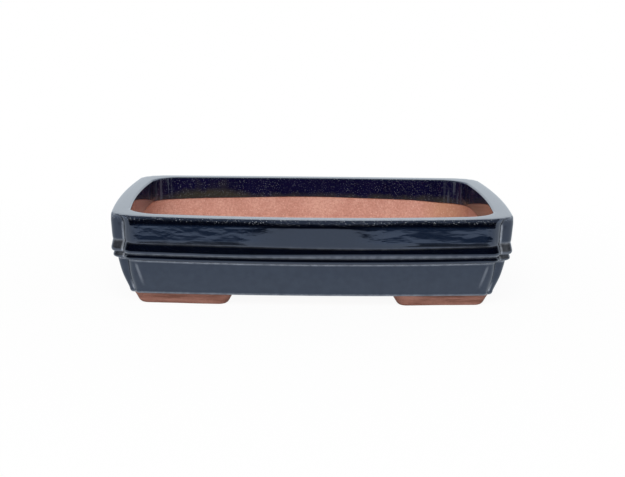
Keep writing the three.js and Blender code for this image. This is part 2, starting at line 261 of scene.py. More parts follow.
def start_plan(name, half_length, half_width):
    """A flat rectangle about the origin, left in edit mode with its four points selected."""
    bpy.ops.object.select_all(action="DESELECT")
    bpy.ops.mesh.primitive_plane_add(size=2)
    piece = bpy.context.object
    piece.name = name
    piece.data.name = name
    bpy.ops.object.mode_set(mode="EDIT")
    bpy.ops.mesh.select_mode(type="VERT")
    bpy.ops.mesh.select_all(action="SELECT")
    bpy.ops.transform.resize(value=(half_length, half_width, 1), center_override=(0, 0, 0))
    return piece


def cut_sides(piece, half_length, half_width, long_cuts, short_cuts):
    """Leaves only the outline of a plan, cuts its four straight sides into spans and numbers its points."""
    bpy.ops.mesh.select_all(action="SELECT")
    bpy.ops.mesh.delete(type="ONLY_FACE")
    for axis, half, cuts in (("x", half_length, long_cuts), ("y", half_width, short_cuts)):
        bpy.ops.mesh.select_mode(type="EDGE")
        bpy.ops.mesh.select_all(action="DESELECT")
        mesh = bmesh.from_edit_mesh(piece.data)
        for edge in mesh.edges:
            if abs(getattr(edge.verts[0].co - edge.verts[1].co, axis)) > half:
                edge.select_set(True)
        bmesh.update_edit_mesh(piece.data)
        bpy.ops.mesh.subdivide(number_cuts=cuts)
    bpy.ops.object.mode_set(mode="OBJECT")
    bpy.ops.object.mode_set(mode="EDIT")


def bow_sides(piece, half_length, half_width):
    """Cuts the sides of a plan into spans and pulls their middles outwards."""
    cut_sides(piece, half_length, half_width, LONG_CUTS, SHORT_CUTS)
    for side in (-1, 1):
        pick(piece, lambda number, place: abs(place.x) < HAIR and place.y * side > 0)
        pull((0, side * LONG_BOW, 0), half_length, "INVERSE_SQUARE")
        pick(piece, lambda number, place: abs(place.y) < HAIR and place.x * side > 0)
        pull((side * SHORT_BOW, 0, 0), half_width, "INVERSE_SQUARE")


def outside_plan(name):
    """The widest outline: notched corners with a rounded crease, soft edges beside them and bowed sides.
    The square notch is a bevel of two segments with its profile turned in."""
    piece = start_plan(name, CORNER_X, CORNER_Y)
    bpy.ops.mesh.bevel(offset=NOTCH_AT_RIM, segments=2, profile=0, affect="VERTICES")
    for soft, axis, half in ((LONG_SIDE_SOFT, "y", CORNER_Y), (SHORT_SIDE_SOFT, "x", CORNER_X)):
        pick(piece, lambda number, place: abs(abs(getattr(place, axis)) - half) < HAIR)
        bpy.ops.mesh.bevel(offset=soft * NOTCH_AT_RIM, segments=EDGE_CUTS, affect="VERTICES")
    crease_x, crease_y = CORNER_X - NOTCH_AT_RIM, CORNER_Y - NOTCH_AT_RIM
    pick(piece, lambda number, place: abs(abs(place.x) - crease_x) < HAIR
         and abs(abs(place.y) - crease_y) < HAIR)
    bpy.ops.mesh.bevel(offset=CREASE_ROUND, segments=CREASE_CUTS, affect="VERTICES")
    bow_sides(piece, CORNER_X, CORNER_Y)
    return piece


def ease_notches(piece, loop, inset, height, old_notch):
    """Draws the four notches of one outline towards the corners where its sides would meet."""
    reach = (1 + LONG_SIDE_SOFT) * old_notch + NOTCH_MARGIN
    ease = notch_at(height) / old_notch
    for x, y in CORNERS:
        corner_x, corner_y = x * (CORNER_X - inset), y * (CORNER_Y - inset)
        pick(piece, lambda number, place: number in loop and abs(place.x - corner_x) < reach
             and abs(place.y - corner_y) < reach)
        bpy.ops.transform.resize(value=(ease, ease, 1), center_override=(corner_x, corner_y, height))


def sleeve(piece, section, plan_inset, notched):
    """Carries a flat outline through the points of a section, each an inset from the widest outline and a
    height in mm. Gives back the numbers of the points on the first outline and on the last."""
    bpy.ops.mesh.select_mode(type="VERT")
    bpy.ops.mesh.select_all(action="SELECT")
    first = loop = picked(piece)
    inset, height, notch = plan_inset, 0, NOTCH_AT_RIM
    for step, (next_inset, next_height) in enumerate(section):
        rise = (0, 0, next_height * mm - height)
        if step == 0:
            bpy.ops.transform.translate(value=rise)
        else:
            bpy.ops.mesh.extrude_edges_move(TRANSFORM_OT_translate={"value": rise})
            loop = picked(piece)
        shrink = [(corner - next_inset * mm) / (corner - inset) for corner in (CORNER_X, CORNER_Y)]
        inset, height = next_inset * mm, next_height * mm
        bpy.ops.transform.resize(value=(*shrink, 1), center_override=(0, 0, height))
        if notched:
            ease_notches(piece, loop, inset, height, notch)
            notch = notch_at(height)
            pick(piece, lambda number, place: number in loop)
    return first, loop


def close_outline(piece, loop):
    """Fills one open outline with a flat face."""
    pick(piece, lambda number, place: number in loop)
    bpy.ops.mesh.edge_face_add()


def face_outwards():
    """Turns all faces of the piece in edit mode outwards."""
    bpy.ops.mesh.select_all(action="SELECT")
    bpy.ops.mesh.normals_make_consistent(inside=False)


def apply_modifier(piece, kind, **settings):
    """Adds a modifier to a piece in object mode and applies it."""
    modifier = piece.modifiers.new(kind, kind)
    for name, value in settings.items():
        setattr(modifier, name, value)
    bpy.context.view_layer.objects.active = piece
    bpy.ops.object.modifier_apply(modifier=modifier.name)


clay_floor = outside_plan("clay_floor")
for outline in sleeve(clay_floor, FLOOR_EDGE, 0, notched=True):
    close_outline(clay_floor, outline)
face_outwards()
bpy.ops.object.mode_set(mode="OBJECT")
for side in (-1, 1):
    bpy.ops.mesh.primitive_cylinder_add(vertices=DRAIN_HOLE_CUTS, radius=DRAIN_HOLE_RADIUS,
                                        depth=DRILL_LENGTH,
                                        location=(side * DRAIN_HOLE_PLACE, 0, FLOOR_UNDERSIDE))
    drill = bpy.context.object
    apply_modifier(clay_floor, "BOOLEAN", operation="DIFFERENCE", object=drill)
    bpy.data.objects.remove(drill)
select_only(clay_floor)
bpy.ops.object.mode_set(mode="EDIT")
pick(clay_floor, lambda number, place:
     math.hypot(abs(place.x) - DRAIN_HOLE_PLACE, place.y) < DRAIN_HOLE_RADIUS + HAIR)
bpy.ops.mesh.select_mode(type="EDGE")
mesh = bmesh.from_edit_mesh(clay_floor.data)
for edge in mesh.edges:
    if abs(edge.verts[0].co.z - edge.verts[1].co.z) > HAIR:
        edge.select_set(False)
bmesh.update_edit_mesh(clay_floor.data)
bpy.ops.mesh.bevel(offset=DRAIN_HOLE_SOFTNESS, segments=SOFTNESS_CUTS, affect="EDGES")
face_outwards()
bpy.ops.object.mode_set(mode="OBJECT")
bpy.ops.object.shade_smooth_by_angle(angle=SHARP_EDGE)

TONE_SIZE = 22 * mm
TONE_RANGE = (0.38, 0.62)  # levels of the pattern that give the darkest and the palest clay
GRAIN_SIZE = 1.6 * mm  # coarser than the real sand, to show
GRAIN_RELIEF = 0.3 * mm
PIT_SPACING = 8 * mm
PIT_RADIUS = 0.09  # of the largest, as a share of the spacing
PIT_EDGE = 0.04  # softness, as a share of the spacing
PITLESS = 0.4  # share of the places that have none
PIT_DARKNESS = 0.7
GRIT_SPACING = 2.4 * mm
GRIT_EDGE = (0.1, 0.2)  # from full to nothing, as shares of the spacing
STAIN_PLACE = (122 * mm, 80 * mm, 46 * mm)
STAIN_FADES = (5 * mm, 26 * mm)
CLAY_ROUGHNESS = (0.78, 0.95)


def bare_clay(name, dark, middle, pale, drawn, grainy, gritty, stained):
    """Coarse red-brown clay, fired bare: matt, with a sandy grain, small dark pits, pale grits and slow
    changes of tone, which a wiping sponge draws out along the pot. Water left a beige stain in one corner."""
    clay = blank_material(name)
    place = node(clay, "ShaderNodeTexCoord").outputs["Object"]
    drawn_out = node(clay, "ShaderNodeMapping", {"Vector": place, "Scale": drawn})
    tones = node(clay, "ShaderNodeTexNoise", {"Vector": drawn_out.outputs[0], "Scale": 1 / TONE_SIZE,
                                              "Detail": 3.0, "Roughness": 0.6})
    grain = node(clay, "ShaderNodeTexNoise", {"Vector": place, "Scale": 1 / GRAIN_SIZE, "Detail": 3.0,
                                              "Roughness": 0.7})
    mottle = node(clay, "ShaderNodeMix", {0: grainy, (2, 3): (tones.outputs["Fac"], grain.outputs["Fac"])},
                  data_type="FLOAT")
    shades = node(clay, "ShaderNodeValToRGB", {0: mottle.outputs[0]})
    stops = shades.color_ramp.elements
    stops[0].position, stops[1].position = TONE_RANGE
    stops[0].color, stops[1].color = colour(dark), colour(pale)
    stops.new(sum(TONE_RANGE) / 2).color = colour(middle)
    from_corner = node(clay, "ShaderNodeVectorMath", {0: place, 1: STAIN_PLACE}, operation="DISTANCE")
    stain = node(clay, "ShaderNodeMapRange", {0: from_corner.outputs["Value"], (1, 2): STAIN_FADES,
                                              (3, 4): (stained, 0.0)})
    stain = node(clay, "ShaderNodeMath", {0: stain.outputs[0], 1: tones.outputs["Fac"]},
                 operation="MULTIPLY")
    watered = node(clay, "ShaderNodeMix", {0: stain.outputs[0],
                                           (6, 7): (shades.outputs[0], colour("#a8805a"))}, data_type="RGBA")
    pits = node(clay, "ShaderNodeTexVoronoi", {"Vector": place, "Scale": 1 / PIT_SPACING, "Randomness": 1.0})
    chance = node(clay, "ShaderNodeSeparateColor", {0: pits.outputs["Color"]})
    pit_size = node(clay, "ShaderNodeMapRange", {0: chance.outputs["Red"], (1, 2): (PITLESS, 1.0),
                                                 (3, 4): (0.0, PIT_RADIUS)})
    margin = node(clay, "ShaderNodeMath", {0: pits.outputs["Distance"], 1: pit_size.outputs[0]},
                  operation="SUBTRACT")
    pit = node(clay, "ShaderNodeMapRange", {0: margin.outputs[0], (1, 2): (-PIT_EDGE, 0.0),
                                            (3, 4): (PIT_DARKNESS, 0.0)})
    pitted = node(clay, "ShaderNodeMix", {0: pit.outputs[0], (6, 7): (watered.outputs[2], colour(dark))},
                  data_type="RGBA", blend_type="MULTIPLY")
    grits = node(clay, "ShaderNodeTexVoronoi", {"Vector": place, "Scale": 1 / GRIT_SPACING,
                                                "Randomness": 1.0})
    grit = node(clay, "ShaderNodeMapRange", {0: grits.outputs["Distance"], (1, 2): GRIT_EDGE,
                                             (3, 4): (gritty, 0.0)})
    sandy = node(clay, "ShaderNodeMix", {0: grit.outputs[0], (6, 7): (pitted.outputs[2], colour("#f0d8c6"))},
                 data_type="RGBA")
    rough = node(clay, "ShaderNodeMapRange", {0: grain.outputs["Fac"], (3, 4): CLAY_ROUGHNESS})
    relief = node(clay, "ShaderNodeMath", {0: grain.outputs["Fac"], 1: pit.outputs[0]}, operation="SUBTRACT")
    bumps = node(clay, "ShaderNodeBump", {"Height": relief.outputs[0], "Distance": GRAIN_RELIEF,
                                          "Strength": 0.8})
    face = node(clay, "ShaderNodeBsdfPrincipled",
                {"Base Color": sandy.outputs[2], "Roughness": rough.outputs[0], "IOR": 1.45,
                 "Specular IOR Level": 0.25, "Normal": bumps.outputs[0]})
    node(clay, "ShaderNodeOutputMaterial", {"Surface": face.outputs[0]})
    return clay


wall_clay = bare_clay("bare red-brown stoneware", "#b78474", "#c69485", "#d3a594", drawn=(1, 1, 1),
                      grainy=0.65, gritty=0.4, stained=1.3)
clay_floor.data.materials.append(wall_clay)
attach(clay_floor, "root")
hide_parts("floor_slab")


# Clay walls
# Four leaning slabs, the rim strips and the belt cords, joined with slip and fired into one ring with no
# seam left. The glaze covers all but the lower inside, where the walls run into the floor in a wiped curve.
RIM_WIDTH = 13.3 * mm
INNER_CORNER = 20 * mm
FRONT_SAG = 1.25 * mm  # the middles of the long walls sank in the kiln
BACK_SAG = 0.5 * mm
SAG_STARTS = (20 * mm, 33 * mm)  # heights: half of the sag from the first up, and half from the second
HOLDING_ROUNDS = 12
SMOOTHING = 2
# Points of the section, as insets from the widest outline and heights in mm
WALL_OUTSIDE = [(20, 16.8), (14.5, 16.8), (12.3, 17.6), (11, 20), (9.2, 25), (6.4, 34), (3.6, 40), (3.2, 48),
                (2.6, 55), (2.2, 63), (3.2, 67), (5.6, 68.4)]
WALL_INSIDE = [(10.4, 68.4), (12.0, 67.6), (12.5, 65.4), (12.5, 52), (12.5, 42), (12.6, 36), (13.5, 32),
               (18.6, 21.5), (20.5, 18.9), (23.5, 17.6), (26, 17.3), (25.6, 16.8)]


def inside_plan(name):
    """The outline of the opening, with plain rounded corners of as many points as the outside has."""
    half_length, half_width = CORNER_X - RIM_WIDTH, CORNER_Y - RIM_WIDTH
    piece = start_plan(name, half_length, half_width)
    corner_points = 2 * (EDGE_CUTS + 1) + CREASE_CUTS + 1
    bpy.ops.mesh.bevel(offset=INNER_CORNER, segments=corner_points - 1, affect="VERTICES")
    bow_sides(piece, half_length, half_width)
    return piece


def held(section):
    """Moves the points of a closed section outwards, so that the smoothed curve passes through them. The
    smoothing brings a point to four sixths of itself and a sixth of each neighbour."""
    control = list(section)
    for _ in range(HOLDING_ROUNDS):
        turned = zip(control[-1:] + control[:-1], control, control[1:] + control[:1], section)
        control = [tuple(c + p - (before + 4 * c + after) / 6 for before, c, after, p in zip(*points))
                   for points in turned]
    return control


def join_sleeves(outer, inner, outer_ends, inner_ends):
    """Makes one closed ring of an outer and an inner sleeve: each end of one runs into the other's."""
    bpy.ops.object.mode_set(mode="OBJECT")
    outer_count = len(outer.data.vertices)
    select_only(inner, outer)
    bpy.ops.object.join()
    bpy.ops.object.mode_set(mode="EDIT")
    for outer_loop, inner_loop in zip(outer_ends, reversed(inner_ends)):
        both = outer_loop | {number + outer_count for number in inner_loop}
        pick(outer, lambda number, place: number in both)
        bpy.ops.mesh.select_mode(type="EDGE")
        bpy.ops.mesh.bridge_edge_loops()
    face_outwards()


def sink_middles(piece):
    """Lets the middles of the long sides sink: all of it from the belt up, half of it on the lower body."""
    for start in SAG_STARTS:
        pick(piece, lambda number, place: place.z < start)
        bpy.ops.mesh.hide()
        for side, sag in ((-1, FRONT_SAG), (1, BACK_SAG)):
            pick(piece, lambda number, place: abs(place.x) < HAIR and place.y * side > 0)
            pull((0, 0, -sag / len(SAG_STARTS)), CORNER_X - NOTCH_AT_RIM, "INVERSE_SQUARE")
        bpy.ops.mesh.reveal(select=False)


whole_section = held(WALL_OUTSIDE + WALL_INSIDE)
clay_walls = outside_plan("clay_walls")
outside_ends = sleeve(clay_walls, whole_section[:len(WALL_OUTSIDE)], 0, notched=True)
bpy.ops.object.mode_set(mode="OBJECT")
opening = inside_plan("opening")
inside_ends = sleeve(opening, whole_section[len(WALL_OUTSIDE):], RIM_WIDTH, notched=False)
join_sleeves(clay_walls, opening, outside_ends, inside_ends)
sink_middles(clay_walls)
bpy.ops.object.mode_set(mode="OBJECT")
apply_modifier(clay_walls, "SUBSURF", levels=SMOOTHING, render_levels=SMOOTHING)
bpy.ops.object.shade_smooth()
clay_walls.data.materials.append(wall_clay)
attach(clay_walls, "root")
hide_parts(*[name for side in ("front", "right", "back", "left") for name in (
    f"{side}_wall", f"rim_{side}", f"upper_cord_{side}", f"lower_cord_{side}")])


# Feet
# Four low blocks of the same clay under the corners, in line with the long walls. Each is cut from a bar,
# flared by the thumb where it meets the floor and wiped along its length, which leaves darker streaks.
FOOT_LENGTH = 73.5 * mm
LEFT_FEET_LONGER = 1.8 * mm  # the feet are cut by eye
FOOT_DEPTH = 30 * mm
FOOT_CORNER = 6 * mm
FOOT_CORNER_CUTS = 5
FOOT_LONG_CUTS = 11
FOOT_SHORT_CUTS = 3
FOOT_END_INSET = 2 * mm  # keeps the rounding of the sole and the top close to their edges
FOOT_MIDDLE = (97.45 * mm, 75.25 * mm)
FOOT_SLANT = math.radians(3.8)
THUMB_MARK_SIZE = 14 * mm
THUMB_MARK_DEPTH = 0.8 * mm
# How far the ends and the long faces lie in from the top of the foot, and the height, in mm
FOOT_STATIONS = [(6.4, 3.2, 0), (5.2, 2.0, 0.3), (3.9, 1.4, 1.3), (3.0, 1.2, 2.6), (2.3, 1.1, 4.0),
                 (1.5, 0.8, 5.6), (0.7, 0.35, 7.1), (0.1, 0, 8.1), (0, 0, 8.9)]

foot_block = start_plan("foot_block", FOOT_LENGTH / 2, FOOT_DEPTH / 2)
bpy.ops.mesh.bevel(offset=FOOT_CORNER, segments=FOOT_CORNER_CUTS, affect="VERTICES")
cut_sides(foot_block, FOOT_LENGTH / 2, FOOT_DEPTH / 2, FOOT_LONG_CUTS, FOOT_SHORT_CUTS)
bpy.ops.mesh.select_mode(type="VERT")
bpy.ops.mesh.select_all(action="SELECT")
foot_ends = [picked(foot_block)]
reach, height = [FOOT_LENGTH / 2, FOOT_DEPTH / 2], 0
for end_lean, face_lean, next_height in FOOT_STATIONS:
    next_reach = [FOOT_LENGTH / 2 - end_lean * mm, FOOT_DEPTH / 2 - face_lean * mm]
    if next_height:
        bpy.ops.mesh.extrude_edges_move(TRANSFORM_OT_translate={"value": (0, 0, next_height * mm - height)})
    height = next_height * mm
    bpy.ops.transform.resize(value=(next_reach[0] / reach[0], next_reach[1] / reach[1], 1),
                             center_override=(0, 0, height))
    reach = next_reach
foot_ends.append(picked(foot_block))
for outline in foot_ends:
    close_outline(foot_block, outline)
    bpy.ops.mesh.inset(thickness=FOOT_END_INSET)
face_outwards()
bpy.ops.object.mode_set(mode="OBJECT")
apply_modifier(foot_block, "SUBSURF", levels=SMOOTHING, render_levels=SMOOTHING)
bpy.ops.object.shade_smooth()
thumbed = bpy.data.textures.new("thumbed clay", "CLOUDS")
thumbed.noise_scale = THUMB_MARK_SIZE
foot_clay = bare_clay("wiped red-brown stoneware", "#6a463c", "#835c51", "#966d61", drawn=(0.5, 1, 5),
                      grainy=0.15, gritty=0.0, stained=0.0)
foot_block.data.materials.append(foot_clay)
for row, y in (("front", -1), ("back", 1)):
    for column, x in (("left", -1), ("right", 1)):
        foot = foot_block.copy()
        foot.data = foot_block.data.copy()
        foot.name = foot.data.name = f"clay_foot_{row}_{column}"
        bpy.context.scene.collection.objects.link(foot)
        select_only(foot)
        foot.rotation_euler.z = -x * y * FOOT_SLANT
        longer = LEFT_FEET_LONGER if column == "left" else 0
        foot.scale.x = (FOOT_LENGTH + longer) / FOOT_LENGTH
        foot.location = (x * (FOOT_MIDDLE[0] - longer / 2), y * FOOT_MIDDLE[1], 0)
        bpy.ops.object.transform_apply(location=True, rotation=True, scale=True)
        apply_modifier(foot, "DISPLACE", texture=thumbed, texture_coords="LOCAL", direction="Y",
                       strength=THUMB_MARK_DEPTH, mid_level=0.5)
        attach(foot, "root")
        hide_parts(f"foot_{row}_{column}")
bpy.data.objects.remove(foot_block)


# Glaze
# A coat of blue-black glass, poured on and melted in the kiln. It covers the outside down to the base edge,
# the rim, and a band inside that ends in a wavy line. It is thickest in the grooves of the belt.

# Points of its section, as insets and heights in mm: down the clay, round the base, up outside, down inside
GLAZE_BACK = [(7, 68.9), (4.4, 68.7), (2.4, 67.4), (1.4, 64), (2, 56), (2.7, 48.5), (3, 40.5), (6, 33.6),
              (8.7, 24), (12.9, 12.8), (14.6, 9.9)]
BASE_ROLL = [(14.7, 8.6), (13.7, 8.1), (12.75, 8.8), (12.15, 10.2)]
BASE_EDGE = (11.6, 12.2)
LOWER_SWELL = 0.8
PANEL_SHARES = (0.3, 0.6, 0.94)
SHOULDER = (4.4, 35.4)
LOWER_CORD = [(3.4, 35.75), (2.35, 36.3), (1.65, 37.0), (1.37, 37.8), (1.45, 38.8), (1.75, 39.7)]
GROOVE = (2.0, 40.3)
UPPER_CORD = [(1.2, 40.75), (0.45, 41.5), (0.05, 42.7), (0.1, 44.2), (0.45, 45.9), (0.88, 48.1)]
BELT_EDGE = (1.2, 49.6)
LIP = [(0.9, 51.2), (0.45, 57), (0.1, 62.5), (0.03, 64.6), (0.1, 67), (0.26, 68.6), (0.6, 69.38),
       (1.3, 69.74), (2.9, 69.9), (5.8, 69.95)]
GLAZE_INSIDE = [(10.6, 69.86), (12.5, 69.6), (13.2, 68.95), (13.3, 67.3), (13.3, 60), (13.3, 53.8),
                (13.2, 52.0), (12.8, 51.4), (12.3, 51.7), (12.1, 54.4), (12.1, 64), (11.2, 68.7)]
RIM_OUTLINES = 2  # how many of the inside points still lie on the rim
# Where the end of the glaze inside lies higher or lower: place across and along, rise and reach in mm
GLAZE_LINE = [(0, 95, 1.6, 90), (-128, 84, -1.2, 30), (128, 84, -2.4, 30), (-142, 0, -4.4, 80),
              (142, 0, -3.4, 80), (-30, -95, 0.8, 50), (70, -95, -0.9, 50)]
GLAZE_LINE_GRIP = 12 * mm  # what lies this close to such a place moves all the way
GLAZE_LINE_TOP = 58 * mm  # nothing above this moves
THIN_PLACE = (30 * mm, 60 * mm)  # the upper cord is thinnest a little right of the middle of the front
THIN_REACH = 120 * mm
CORD_RISE = 1.2 * mm  # its belly lies higher there
CORD_DROP = 1.4 * mm  # and its upper edge lower
RIM_FILL = 3.6 * mm
FILL_STARTS = (66.5 * mm, 68.2 * mm, 69.2 * mm)  # heights: an equal share of the fill from each one up
FILL_REACH = 9 * mm
CREASE_GRIP = 1.3  # how far round a crease its points lie, as a share of its rounding
# The pale line in a notch is pooled glaze and a painted highlight
CREASE_TOP = 63.5 * mm  # where the pale line in a notch ends
CREASE_POOL_AND_HIGHLIGHT = 0.75


def between(low, high, proud, shares):
    """Points of a section that swells out between two of its points."""
    points = []
    for t in shares:
        swell = proud * math.sin(math.pi * t)
        points.append((low[0] + (high[0] - low[0]) * t - swell, low[1] + (high[1] - low[1]) * t))
    return points


def section_point(number):
    """The point of the glaze section that a point of the outer sleeve was carried to."""
    return glaze_outside[number // outline_points]


def in_a_crease(number, place):
    """Whether a point of the outer sleeve lies in the crease of a corner notch."""
    if not len(GLAZE_BACK) <= number // outline_points < len(glaze_outside):
        return False
    inset, height = section_point(number)
    crease = [half - inset * mm - notch_at(height * mm) for half in (CORNER_X, CORNER_Y)]
    reach = CREASE_GRIP * CREASE_ROUND * notch_at(height * mm) / NOTCH_AT_RIM
    return math.hypot(abs(place.x) - crease[0], abs(place.y) - crease[1]) < reach


def fill_notches(piece):
    """Rounds the corner notches over towards the top of the rim, where slip and glaze filled them."""
    pick(piece, in_a_crease)
    creases = picked(piece)
    step = RIM_FILL / len(FILL_STARTS)
    for start in FILL_STARTS:
        pick(piece, lambda number, place: place.z < start)
        bpy.ops.mesh.hide()
        for x, y in CORNERS:
            pick(piece, lambda number, place: number in creases and place.x * x > 0 and place.y * y > 0)
            pull((x * step, y * step, 0), FILL_REACH, "SMOOTH")
        bpy.ops.mesh.reveal(select=False)


glaze_outside = [*GLAZE_BACK, *BASE_ROLL, BASE_EDGE,
                 *between(BASE_EDGE, SHOULDER, LOWER_SWELL, PANEL_SHARES),
                 SHOULDER, *LOWER_CORD, GROOVE, *UPPER_CORD, BELT_EDGE, *LIP]
whole_section = held(glaze_outside + GLAZE_INSIDE)
glaze_skin = outside_plan("glaze_skin")
outside_ends = sleeve(glaze_skin, whole_section[:len(glaze_outside)], 0, notched=True)
outline_points = len(outside_ends[0])
outside_points = outline_points * len(glaze_outside)
fill_notches(glaze_skin)
for moved, rise in ((UPPER_CORD[1:-1], CORD_RISE), ((UPPER_CORD[-1], BELT_EDGE, LIP[0]), -CORD_DROP)):
    pick(glaze_skin, lambda number, place: section_point(number) not in moved)
    bpy.ops.mesh.hide()
    pick(glaze_skin, lambda number, place: THIN_PLACE[0] < place.x < THIN_PLACE[1] and place.y < 0)
    pull((0, 0, rise), THIN_REACH, "SMOOTH")
    bpy.ops.mesh.reveal(select=False)
bpy.ops.object.mode_set(mode="OBJECT")
inner_band = inside_plan("inner_band")
inside_ends = sleeve(inner_band, whole_section[len(glaze_outside):], RIM_WIDTH, notched=False)
pick(inner_band, lambda number, place: place.z > GLAZE_LINE_TOP)
bpy.ops.mesh.hide()
for x, y, rise, reach in GLAZE_LINE:
    pick(inner_band, lambda number, place: math.hypot(place.x - x * mm, place.y - y * mm) < GLAZE_LINE_GRIP)
    pull((0, 0, rise * mm), reach * mm, "SMOOTH")
bpy.ops.mesh.reveal(select=False)
bpy.ops.object.mode_set(mode="OBJECT")
join_sleeves(glaze_skin, inner_band, outside_ends, inside_ends)


def all_round(place):
    """Any place."""
    return True


def beside_a_notch(place):
    """Whether a place lies at the end of a short side, where a notch begins."""
    return abs(place.x) > CORNER_X - NOTCH_AT_BELT and abs(place.y) > CORNER_Y - 2 * NOTCH_AT_BELT


def along_a_long_side(place):
    """Whether a place lies well between the notches of a long side."""
    return abs(place.x) < CORNER_X - 2 * NOTCH_AT_RIM


# How pale the glaze is painted where it gathered, and as painted highlight where light is mirrored:
# points of the section, milkiness and stretch
pale_and_highlight_places = [
    # Pooled glaze in the belt grooves, on the shoulder and on the base edge; the pale lines there are partly
    # painted highlight of the lit floor
    ([BELT_EDGE], 0.12, all_round),
    ([UPPER_CORD[1]], 0.26, all_round),
    ([UPPER_CORD[0], GROOVE], 0.16, all_round),
    ([LOWER_CORD[0]], 0.6, all_round),
    ([SHOULDER], 2.0, all_round),
    (BASE_ROLL[1:3], 0.45, all_round),
    # Painted reflection: the grey of the mirrored floor on the cord ends and the belt edge beside the notches
    (UPPER_CORD[2:] + LOWER_CORD[2:], 0.13, beside_a_notch),
    ([BELT_EDGE], 0.45, beside_a_notch),
    # Painted highlight on the rounded outer edge of the rim along the long sides
    ([LIP[7]], 0.3, along_a_long_side),
    ([LIP[8]], 0.55, along_a_long_side),
]
bpy.ops.geometry.attribute_add(name="pale_and_highlight", domain="POINT", data_type="FLOAT")
for points, pale_and_highlight_share, stretch in pale_and_highlight_places:
    pick(glaze_skin, lambda number, place: number < outside_points and section_point(number) in points
         and stretch(place))
    bpy.ops.mesh.attribute_set(value_float=pale_and_highlight_share)
# Pooled glaze painted pale in the creases of the notches, with a painted highlight where light is mirrored
# there
pick(glaze_skin, lambda number, place: in_a_crease(number, place) and place.z < CREASE_TOP)
bpy.ops.mesh.attribute_set(value_float=CREASE_POOL_AND_HIGHLIGHT)
sink_middles(glaze_skin)
bpy.ops.object.mode_set(mode="OBJECT")

SPECK_SPACING = 0.85 * mm
SPECK_RADIUS = (0.05, 0.42)  # smallest and largest, as shares of the spacing
SPECK_EDGE = (-0.12, 0.02)
SPECK_PALENESS = (0.15, 1.0)


def specks(glass, place):
    """How pale the specks of melt are at a place. They lie a little under a millimetre apart, in many sizes,
    and are drawn a little larger than the real ones, to show."""
    grains = node(glass, "ShaderNodeTexVoronoi", {"Vector": place, "Scale": 1 / SPECK_SPACING,
                                                  "Randomness": 1.0})
    chance = node(glass, "ShaderNodeSeparateColor", {0: grains.outputs["Color"]})
    radius = node(glass, "ShaderNodeMapRange", {0: chance.outputs["Red"], (3, 4): SPECK_RADIUS})
    margin = node(glass, "ShaderNodeMath", {0: grains.outputs["Distance"], 1: radius.outputs[0]},
                  operation="SUBTRACT")
    paleness = node(glass, "ShaderNodeMapRange", {0: chance.outputs["Green"], (3, 4): SPECK_PALENESS})
    return node(glass, "ShaderNodeMapRange", {0: margin.outputs[0], (1, 2): SPECK_EDGE,
                                              (3, 4): (paleness.outputs[0], 0.0)})


WAVE_SIZE = 12 * mm
WAVE_DRAWN = (0.4, 0.4, 1)
WAVE_HEIGHT = 5 * mm
WAVE_FALL = 15.0  # the wavy coat leans down on the whole: what it loses, in wave heights, for each metre up
WAVE_START = 0.67
WAVES_GROW = (25 * mm, 60 * mm)  # outwards from the middle of a long side
WAVES_STOP = (128 * mm, 136 * mm)  # beside the notches
WAVES_ABOVE = (49 * mm, 52 * mm)  # heights: they start over the belt
WAVES_BELOW = (62.6 * mm, 64.2 * mm)  # and stop under the lip
FAINT_WAVES = 0.05
COAT_ROUGHNESS = (0.06, 0.3)  # where it is even, and where it is wavy
CLOUD_SIZE = 26 * mm
HAZE_START = (63 * mm, 64.4 * mm)  # height in the middle of a long side, and at its ends
HAZE_SPAN = 110 * mm  # the way from the one to the other
HAZE_WANDER = 4 * mm
HAZE_FADE = 1.5 * mm
HAZE_STRENGTH = 0.7
SPECKS_FADE = (-1 * mm, 1 * mm)  # below and above the start of the haze
STRAY_SPECKS = 0.02
RIM_TURN = (69.2 * mm, 69.7 * mm)  # heights at which the lip turns into the flat rim
RIM_SPECKS = 0.15
# A painted highlight line on the rounded ends of the lower panels, where light is mirrored
PAINTED_HIGHLIGHT_PLACE = 122.2 * mm  # at the ground, from the middle of a long side
PAINTED_HIGHLIGHT_LEAN = 0.277  # outwards, for each millimetre up
PAINTED_HIGHLIGHT_WIDTH = (0.2 * mm, 1.7 * mm)
PAINTED_HIGHLIGHT_STRENGTH = 0.6
PAINTED_HIGHLIGHT_FOOT = (14 * mm, 22 * mm)
LOWER_PANEL_TOP = (31 * mm, 34 * mm)
PATCH_SIZE = 5 * mm
MOTTLE_RANGE = (0.36, 0.66)  # levels of the patchy pattern that give no mottle and all of it
PATCH_RANGE = (0.3, 0.7)  # levels that give the least and the most milkiness
PATCH_MILKINESS = (0.5, 1.3)


